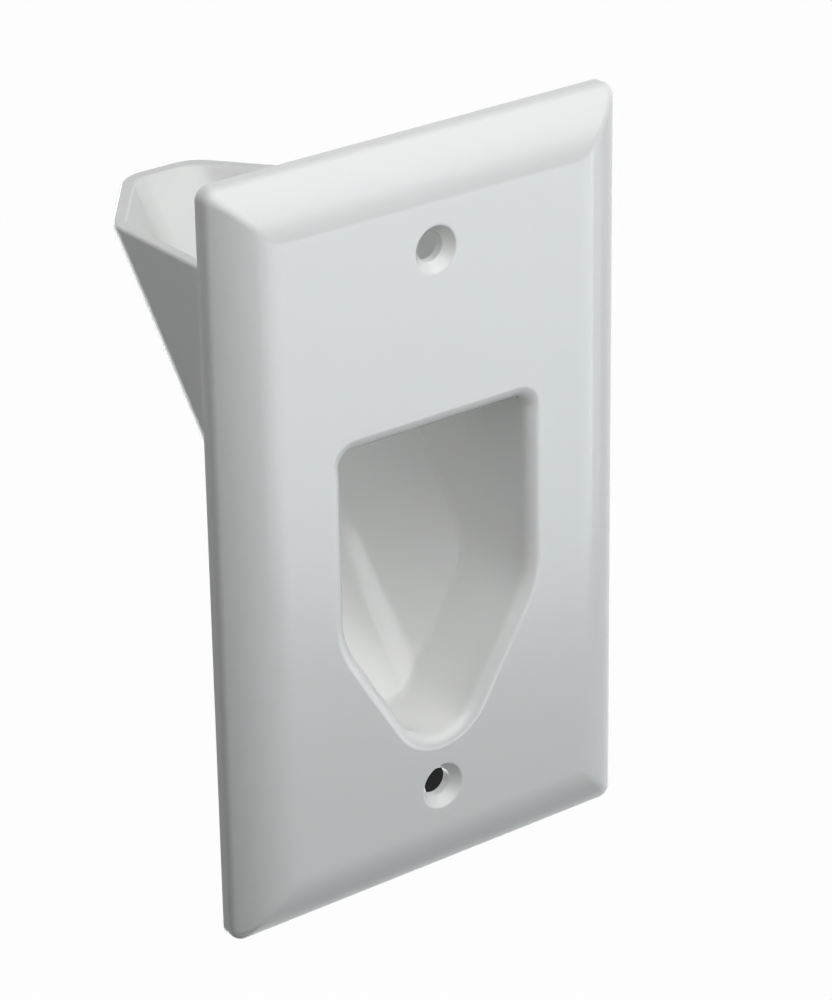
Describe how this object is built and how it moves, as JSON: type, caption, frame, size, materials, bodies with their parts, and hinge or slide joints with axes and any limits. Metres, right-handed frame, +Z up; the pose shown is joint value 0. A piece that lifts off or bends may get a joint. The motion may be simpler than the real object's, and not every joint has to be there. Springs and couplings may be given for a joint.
{
  "type": "recessed cable wall plate",
  "caption": "Wall plate with a rolled border, countersunk screw holes and a scoop behind its pointed opening that leads low-voltage cables up into the wall.",
  "frame": {"origin": "middle of the plate on the wall surface that its rim stands on", "axes": "+X to the right seen from the room, +Y into the wall, +Z up"},
  "size_m": [0.0698, 0.0687, 0.1142],
  "materials": {
    "white_plastic": "smooth white ABS with a soft gloss"
  },
  "bodies": {
    "root": {"recessed_wall_plate": "white_plastic"}
  },
  "joints": []
}
